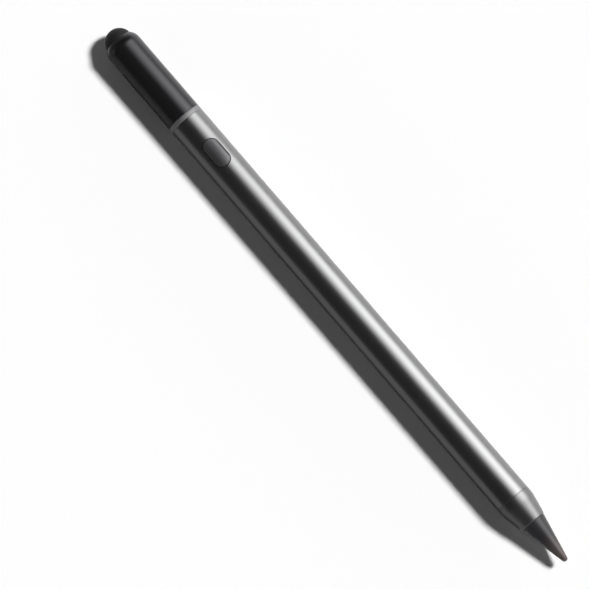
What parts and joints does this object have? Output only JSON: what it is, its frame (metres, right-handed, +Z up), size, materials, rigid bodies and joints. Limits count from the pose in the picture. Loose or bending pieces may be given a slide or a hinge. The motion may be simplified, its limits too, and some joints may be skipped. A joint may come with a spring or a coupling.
{
  "type": "stylus pen",
  "caption": "Slim round rechargeable stylus pen with a satin metal barrel, a side button, a screw-on nib and a black pull-off cap that ends in a soft touch tip and covers a charging socket.",
  "frame": {"origin": "half way along the pen, on the line where the barrel touches the surface it lies on", "axes": "+X along the pen towards the nib, +Z up through the power button"},
  "size_m": [0.1662, 0.009, 0.0092],
  "materials": {
    "graphite_aluminium": "satin",
    "ring_aluminium": "matte blasted",
    "black_anodised": "black anodised, satin",
    "tip_rubber": "soft matte",
    "nib_resin": "satin moulded",
    "button_plastic": "fine grain",
    "brass": "turned",
    "gold_contact": "gold plated",
    "steel": "turned",
    "spring_steel": "bright strip",
    "black_nylon": "moulded",
    "grey_nylon": "moulded",
    "seal_rubber": "smooth",
    "plunger_plastic": "moulded",
    "cell_wrap": "shrink wrapped",
    "foam": "foam",
    "board": "solder mask",
    "chip": "moulded",
    "crystal_can": "plated can",
    "ferrite": "sintered",
    "capacitor": "sintered",
    "flex_film": "amber film"
  },
  "bodies": {
    "body": {"barrel": "graphite_aluminium", "nose_cone": "graphite_aluminium", "trim_ring": "ring_aluminium", "nib_stud": "brass", "port_contacts": "gold_contact", "stud_contact": "gold_contact", "port_neck": "steel", "switch_plate": "spring_steel", "switch_dome": "spring_steel", "ground_spring": "spring_steel", "battery_tabs": "spring_steel", "port_tongue": "black_nylon", "stud_bush": "black_nylon", "switch_base": "black_nylon", "chassis": "grey_nylon", "neck_seal": "seal_rubber", "battery_cell": "cell_wrap", "battery_pads": "foam", "charge_board": "board", "driver_board": "board", "charge_chip": "chip", "driver_chip": "chip", "crystal": "crystal_can", "boost_inductor": "ferrite", "chip_capacitors": "capacitor", "flex_cable": "flex_film"},
    "cap": {"cap_shell": "black_anodised", "touch_tip": "tip_rubber", "tip_retainer": "steel"},
    "nib": {"nib": "nib_resin", "nib_core": "brass"},
    "button": {"power_button": "button_plastic"},
    "plunger": {"switch_plunger": "plunger_plastic"}
  },
  "joints": [
    {"name": "cap_pull", "type": "slide", "parent": "body", "child": "cap", "axis": [-1, 0, 0], "range_m": [0, 0.025]},
    {"name": "nib_pull", "type": "slide", "parent": "body", "child": "nib", "axis": [1, 0, 0], "range_m": [0, 0.012]},
    {"name": "button_press", "type": "slide", "parent": "body", "child": "button", "axis": [0, 0, -1], "range_m": [0, 0.00025], "stiffness_N_per_m": 6000},
    {"name": "plunger_press", "type": "slide", "parent": "body", "child": "plunger", "axis": [0, 0, -1], "range_m": [0, 0.00025], "deforming": ["switch_dome"]}
  ],
  "couplings": [
    {"joint": "plunger_press", "follows": "button_press", "ratio": 1}
  ]
}
